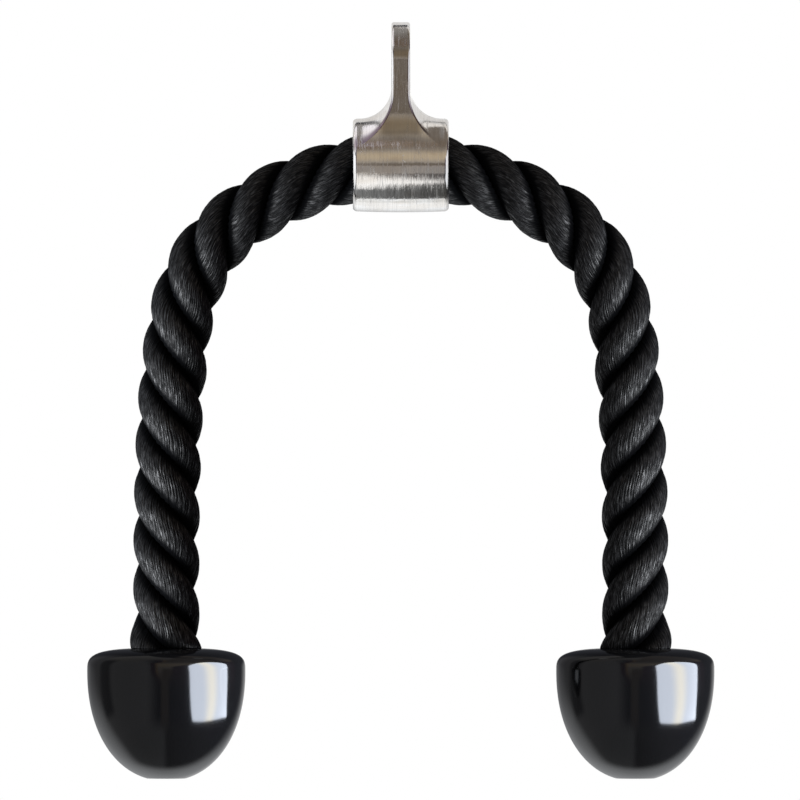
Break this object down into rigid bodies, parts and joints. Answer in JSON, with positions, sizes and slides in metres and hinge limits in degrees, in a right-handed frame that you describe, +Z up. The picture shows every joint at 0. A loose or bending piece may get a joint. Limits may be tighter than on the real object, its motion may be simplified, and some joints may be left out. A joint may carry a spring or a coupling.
{
  "type": "triceps rope attachment",
  "caption": "Triceps rope for a cable machine: polished cast hanger with an eye, black laid rope through its sleeve, round black moulded end caps.",
  "frame": {"origin": "centre of the eye's hole, half way through the tab's thickness", "axes": "+Z up along the hanger's tab, +X along the sleeve and the eye's hole, to the right in the picture, +Y away from the camera"},
  "size_m": [0.2854, 0.072, 0.344],
  "materials": {
    "polished_casting": "polished, with fine upright brush lines",
    "black_rope": "silky laid fibres",
    "black_moulding": "gloss",
    "grey_binding": "dull woven tape",
    "zinc_steel": "zinc plated"
  },
  "bodies": {
    "hanger": {"hanger": "polished_casting"},
    "rope_core": {"core_strand_1": "black_rope", "core_strand_2": "black_rope", "core_strand_3": "black_rope"},
    "left_leg": {"left_strand_1": "black_rope", "left_strand_2": "black_rope", "left_strand_3": "black_rope", "left_cap": "black_moulding", "left_end_band": "grey_binding", "left_washer": "zinc_steel", "left_screw": "zinc_steel"},
    "right_leg": {"right_strand_1": "black_rope", "right_strand_2": "black_rope", "right_strand_3": "black_rope", "right_cap": "black_moulding", "right_end_band": "grey_binding", "right_washer": "zinc_steel", "right_screw": "zinc_steel"}
  },
  "joints": [
    {"name": "rope_swing", "type": "hinge", "parent": "hanger", "child": "rope_core", "pos_m": [0, 0, -0.0475], "axis": [1, 0, 0], "range_deg": [-90, 90]},
    {"name": "left_leg_bend", "type": "hinge", "parent": "rope_core", "child": "left_leg", "pos_m": [-0.0245, 0, -0.0503], "axis": [0, 1, 0], "range_deg": [-12, 30], "stiffness_Nm_per_rad": 1.5, "springref_deg": 8.42},
    {"name": "right_leg_bend", "type": "hinge", "parent": "rope_core", "child": "right_leg", "pos_m": [0.0245, 0, -0.0503], "axis": [0, -1, 0], "range_deg": [-12, 30], "stiffness_Nm_per_rad": 1.5, "springref_deg": 8.42}
  ]
}
